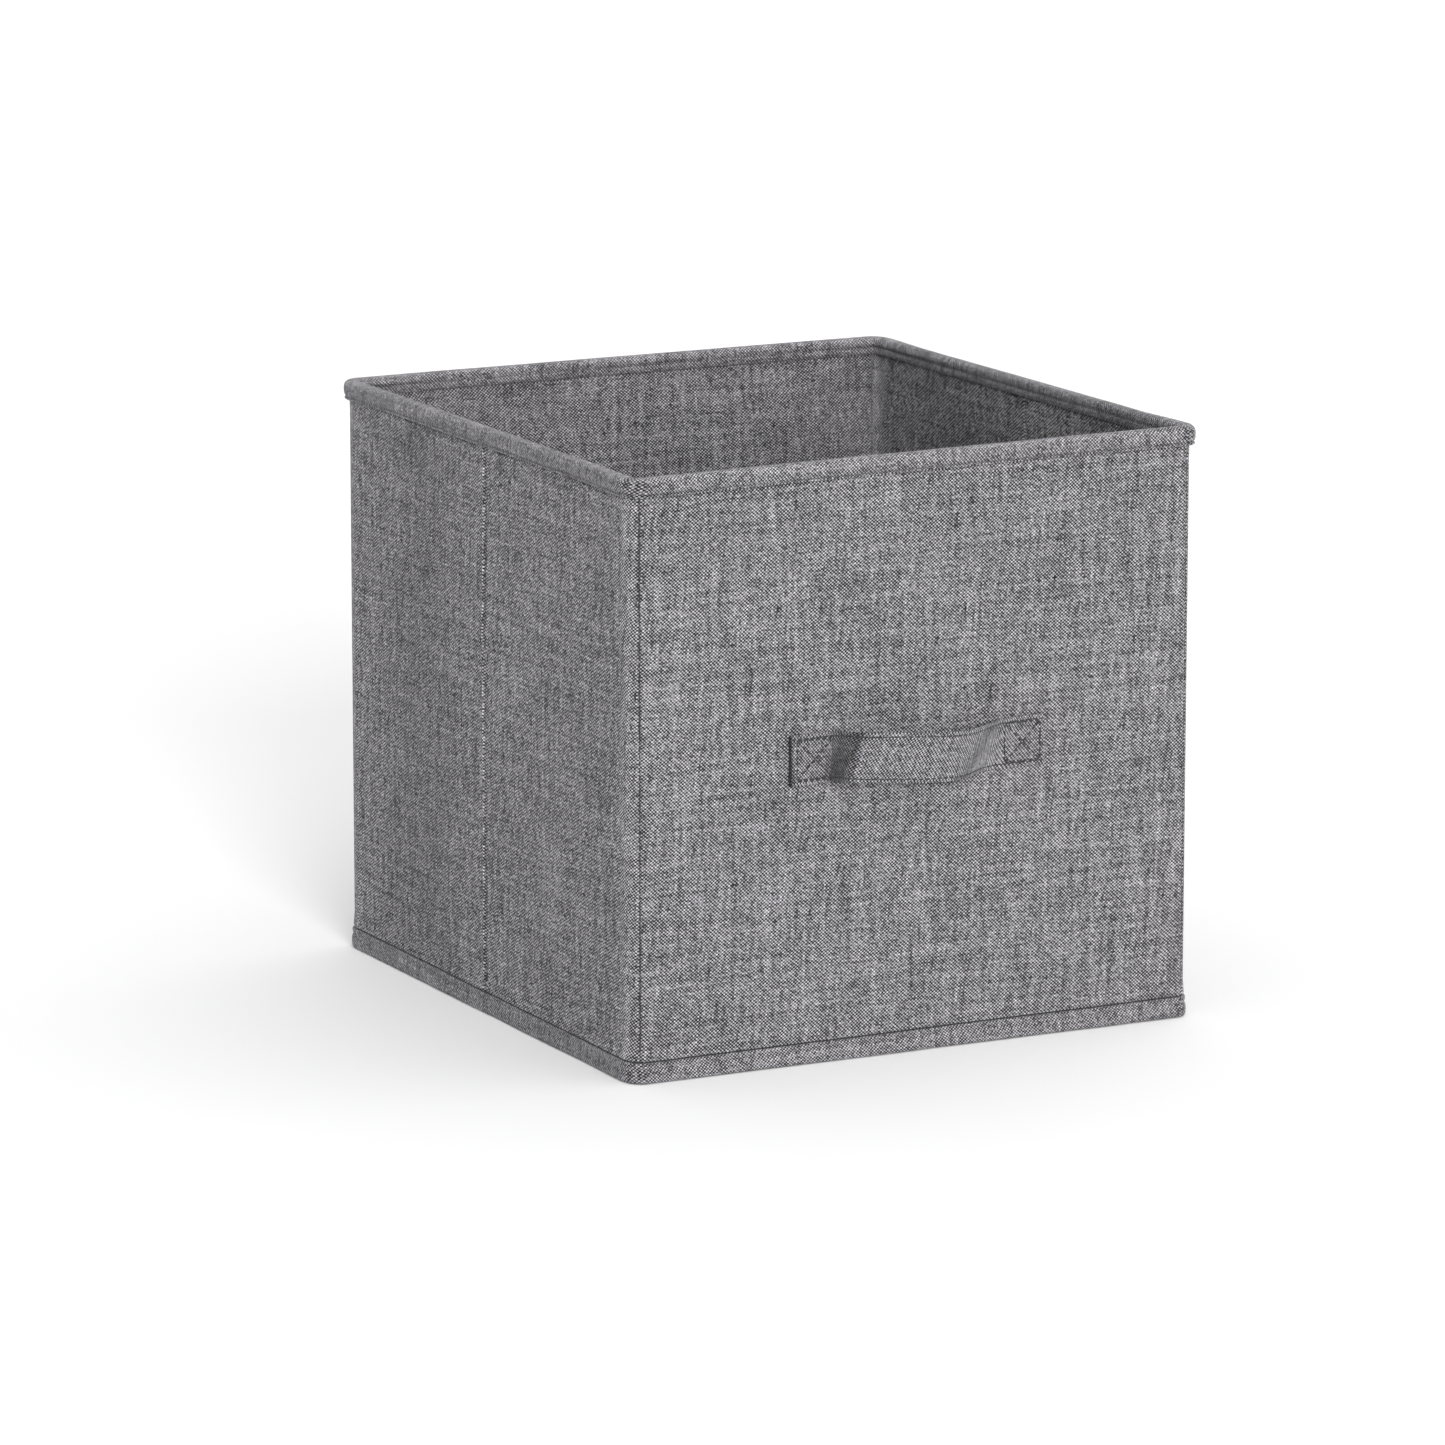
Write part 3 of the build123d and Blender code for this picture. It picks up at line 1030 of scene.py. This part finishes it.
def strap_part(name, frames, start_length):
    """A stretch of the strap through the given frames."""
    section = strap_section()
    rings = []
    cloth_rings = []
    length = start_length
    for i, (centre, across, facing) in enumerate(frames):
        if i:
            length += (centre - frames[i - 1][0]).length
        ruck = STRAP_RUCK * noise.noise(centre * STRAP_RUCK_WAVES)
        ring = []
        for place, height in section:
            ring.append(tuple(centre + across * place + facing * (height * STRAP_THICK / 2 + ruck)))
        rings.append(ring)
        # The third cloth value is the strap's painted shade.
        cloth_rings.append([
            (length, place * STRAP_HALF + (BACK_FACE if height < 0 else 0.0), strap_painted_shade(centre.x, place))
            for place, height in section
        ])
    vertices, faces, cloth = loft(rings, cloth_rings)
    return make_object(name, vertices, faces, cloth, STRAP_CLOTH, sharp=75.0)


def edge_stitches(frames):
    """Stitches along both edges of a stretch of strap, on its outer face."""
    runs = []
    for place in (-EDGE_LINE, EDGE_LINE):
        line = [centre + across * place + facing * STRAP_THICK * 0.45 for centre, across, facing in frames]
        walked = [0.0]
        for a, b in zip(line, line[1:]):
            walked.append(walked[-1] + (b - a).length)
        count = round(walked[-1] / STITCH_PITCH)
        for i in range(count):
            middle = walked[-1] * (i + 0.5) / count
            ends = [point_along(line, walked, middle + turn * STITCH_LENGTH) for turn in (-0.5, 0.5)]
            nearest = min(range(len(line)), key=lambda k: abs(walked[k] - middle))
            runs.append((ends[0], ends[1], frames[nearest][2]))
    return runs


def point_along(line, walked, length):
    """The point at a length along a line of points."""
    length = min(max(length, 0.0), walked[-1])
    for i in range(len(line) - 1):
        if walked[i + 1] >= length:
            share = (length - walked[i]) / max(walked[i + 1] - walked[i], 1e-9)
            return line[i].lerp(line[i + 1], share)
    return line[-1]


def box_stitches(side):
    """The square with a cross that sews one end of the strap to the wall. side is -1 or 1."""
    outer_x = side * TAB_END
    inner_x = side * (TAB_END - TAB_WIDTH)
    middle = STRAP_Z + (0.0 if side < 0 else UPPER_EDGE[-1][2] * MM)
    low, high = middle - BOX_LINE * STRAP_HALF, middle + BOX_LINE * STRAP_HALF
    y = -HALF_Y - BOX_STITCH_OUT - STRAP_THICK / 2
    corners = [(outer_x, low), (inner_x, low), (inner_x, high), (outer_x, high)]
    lines = [(corners[i], corners[(i + 1) % 4]) for i in range(4)]
    lines += [(corners[0], corners[2]), (corners[1], corners[3])]
    runs = []
    for (x0, z0), (x1, z1) in lines:
        start, end = Vector((x0, y, z0)), Vector((x1, y, z1))
        count = max(1, round((end - start).length / STITCH_PITCH))
        for i in range(count):
            share = 0.5 * STITCH_LENGTH / (end - start).length
            middle = (i + 0.5) / count
            runs.append((start.lerp(end, middle - share), start.lerp(end, middle + share), (0, -1, 0)))
    return runs


def build_handle():
    """The strap in two halves, each of which turns out from the front wall to the middle."""
    middle = min(range(len(STRAP_FRAMES)), key=lambda i: abs(STRAP_FRAMES[i][0].x))
    halves = (
        ("left", STRAP_FRAMES[:middle + 1], LEFT_TURN, -1),
        ("right", STRAP_FRAMES[middle:], RIGHT_TURN, 1),
    )
    walked = sum((b[0] - a[0]).length for a, b in zip(STRAP_FRAMES[:middle], STRAP_FRAMES[1:middle + 1]))
    for name, frames, (start_x, end_x), side in halves:
        strap = strap_part(f"strap_{name}_half", frames, 0.0 if side < 0 else walked)
        edge_runs, box_runs = edge_stitches(frames), box_stitches(side)
        edges = stitches(f"strap_{name}_edge_stitching", edge_runs, DARK_THREAD, EDGE_STITCH_RADIUS)
        sewn = stitches(f"strap_{name}_box_stitching", box_runs, DARK_THREAD, BOX_STITCH_RADIUS)
        for piece in (strap, edges):
            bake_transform(piece)
        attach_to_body(sewn, "front")
        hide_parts(f"strap_{name}_end")
        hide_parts(f"strap_{name}_stitch")
        if side < 0:
            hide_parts("strap_middle")


build_handle()


# ---------------------------------------------------------------- stage, light and camera


def build_stage():
    """A plain pale floor."""
    bpy.ops.mesh.primitive_plane_add(size=FLOOR_SIZE, location=(0, 0, -FLOOR_DROP))
    floor = bpy.context.object
    floor.name = "floor"
    material, _, shader = new_material("pale_floor", 0.9)
    shader.inputs["Base Color"].default_value = (FLOOR_TONE, FLOOR_TONE, FLOOR_TONE, 1.0)
    floor.data.materials.append(material)


def build_light():
    """Even studio light: a white surround, a little brighter to the right, and a low soft light from the
    front."""
    world = bpy.data.worlds.new("surround")
    world.use_nodes = True
    tree = world.node_tree
    background = tree.nodes["Background"]
    background.inputs["Color"].default_value = (1.0, 1.0, 1.0, 1.0)
    direction = tree.nodes.new("ShaderNodeTexCoord")
    sideways = scaled(tree, separate(tree, direction.outputs["Generated"])[0], SURROUND_SLOPE)
    tree.links.new(math_node(tree, "ADD", sideways, SURROUND_LIGHT), background.inputs["Strength"])
    bpy.context.scene.world = world
    sun = bpy.data.lights.new("key", "SUN")
    sun.energy = KEY_STRENGTH
    sun.angle = math.radians(KEY_WIDTH)
    light = bpy.data.objects.new("key", sun)
    bpy.context.scene.collection.objects.link(light)
    light.rotation_euler = Vector(KEY_DIRECTION).to_track_quat("Z", "Y").to_euler()
    bpy.context.scene.view_settings.view_transform = "Standard"


def build_camera():
    """The camera, looking along its yaw and down by its pitch."""
    data = bpy.data.cameras.new("camera")
    data.lens = CAMERA_LENS
    camera = bpy.data.objects.new("camera", data)
    bpy.context.scene.collection.objects.link(camera)
    camera.location = CAMERA_PLACE
    camera.rotation_euler = (math.radians(90 - CAMERA_PITCH), 0.0, -math.radians(CAMERA_YAW))
    bpy.context.scene.camera = camera


build_stage()
build_light()
build_camera()
